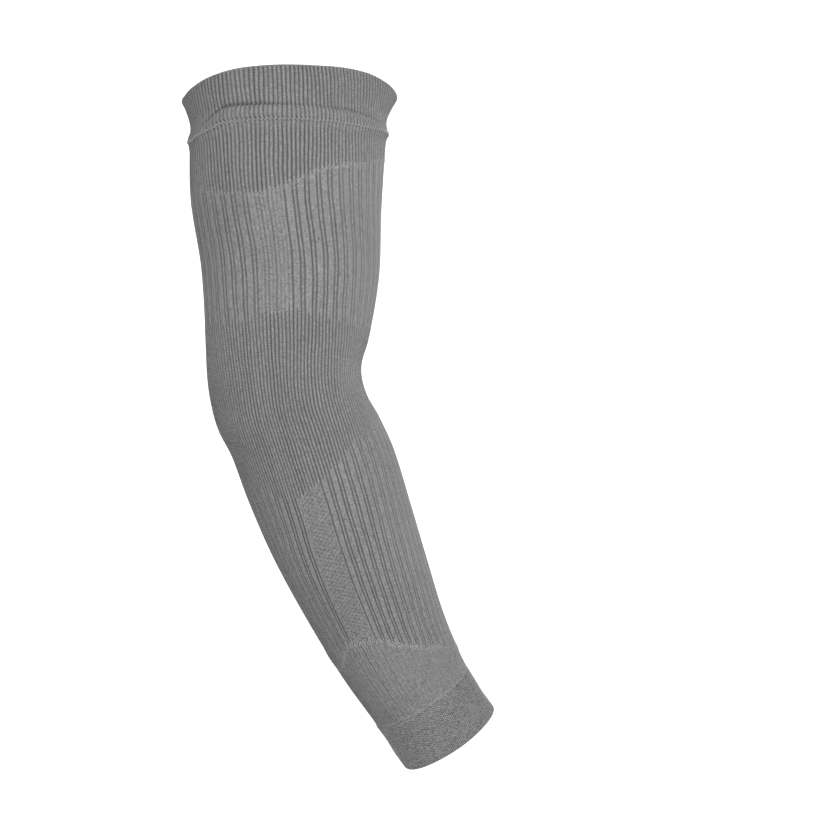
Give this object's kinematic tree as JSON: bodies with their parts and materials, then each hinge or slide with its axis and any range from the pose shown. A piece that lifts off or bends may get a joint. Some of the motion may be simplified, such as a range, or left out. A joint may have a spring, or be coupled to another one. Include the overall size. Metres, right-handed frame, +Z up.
{
  "type": "arm compression sleeve",
  "caption": "Knitted compression sleeve for a bent arm, with a turned band at the biceps, ribbed zones, a close-ribbed elbow patch and a plain doubled wrist cuff.",
  "frame": {"origin": "centre of the upper opening, where the upper arm goes in", "axes": "+Z up the upper arm towards the shoulder, -X towards the point of the elbow, +X the way the forearm bends, Y across the arm"},
  "size_m": [0.2012, 0.115, 0.4078],
  "materials": {
    "band_knit": "matt grey 1x1 rib knit, turned over double",
    "rib_knit": "matt grey zoned rib knit",
    "cuff_knit": "matt grey plain jersey, doubled"
  },
  "bodies": {
    "root": {"upper_band": "band_knit", "sleeve_tube": "rib_knit", "wrist_cuff": "cuff_knit"}
  },
  "joints": []
}
